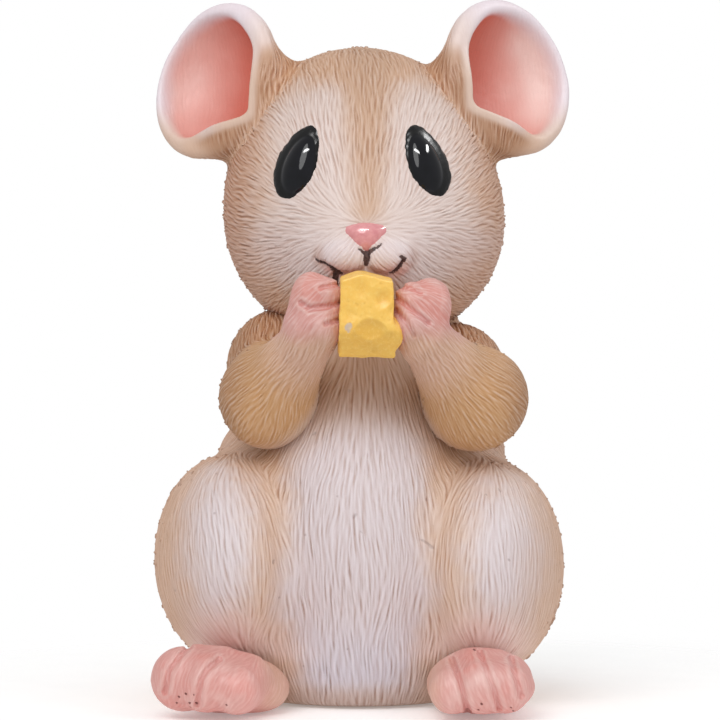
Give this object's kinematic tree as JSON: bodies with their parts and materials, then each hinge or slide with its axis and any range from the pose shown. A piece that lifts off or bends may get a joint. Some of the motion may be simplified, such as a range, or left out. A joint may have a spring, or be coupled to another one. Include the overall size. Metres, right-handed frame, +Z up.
{
  "type": "mouse figurine",
  "caption": "Seated mouse ornament in painted cast resin, holding a block of cheese to its mouth with both front paws, with large cupped ears and a flat felted base.",
  "frame": {"origin": "on the surface the figurine stands on, under the middle of its bounding box", "axes": "+Z up, the mouse faces -Y, +X to the mouse's own left (the viewer's right when it is seen from the front); nodes named left are at +X and nodes named right at -X"},
  "size_m": [0.0972, 0.098, 0.1607],
  "materials": {
    "fur": "cast polyresin, carved fur, hand painted tan to cream, satin matte",
    "ear": "cast polyresin, hand painted pink inside and tan outside, satin matte",
    "skin": "cast polyresin, hand painted salmon pink, satin matte",
    "cheese": "cast polyresin, hand painted warm yellow, satin matte",
    "eye": "black, high gloss",
    "nose": "pink, gloss varnish",
    "dowel": "plain turned beech",
    "disc": "unpainted resin",
    "felt": "self-adhesive felt, dark green"
  },
  "bodies": {
    "root": {"torso_shell": "fur", "head_shell": "fur", "ear_right": "ear", "ear_left": "ear", "arm_right": "fur", "arm_left": "fur", "foot_right": "skin", "foot_left": "skin", "tail": "skin", "cheese": "cheese", "eye_right": "eye", "eye_left": "eye", "nose": "nose", "neck_dowel": "dowel", "base_disc": "disc", "base_felt": "felt"}
  },
  "joints": []
}
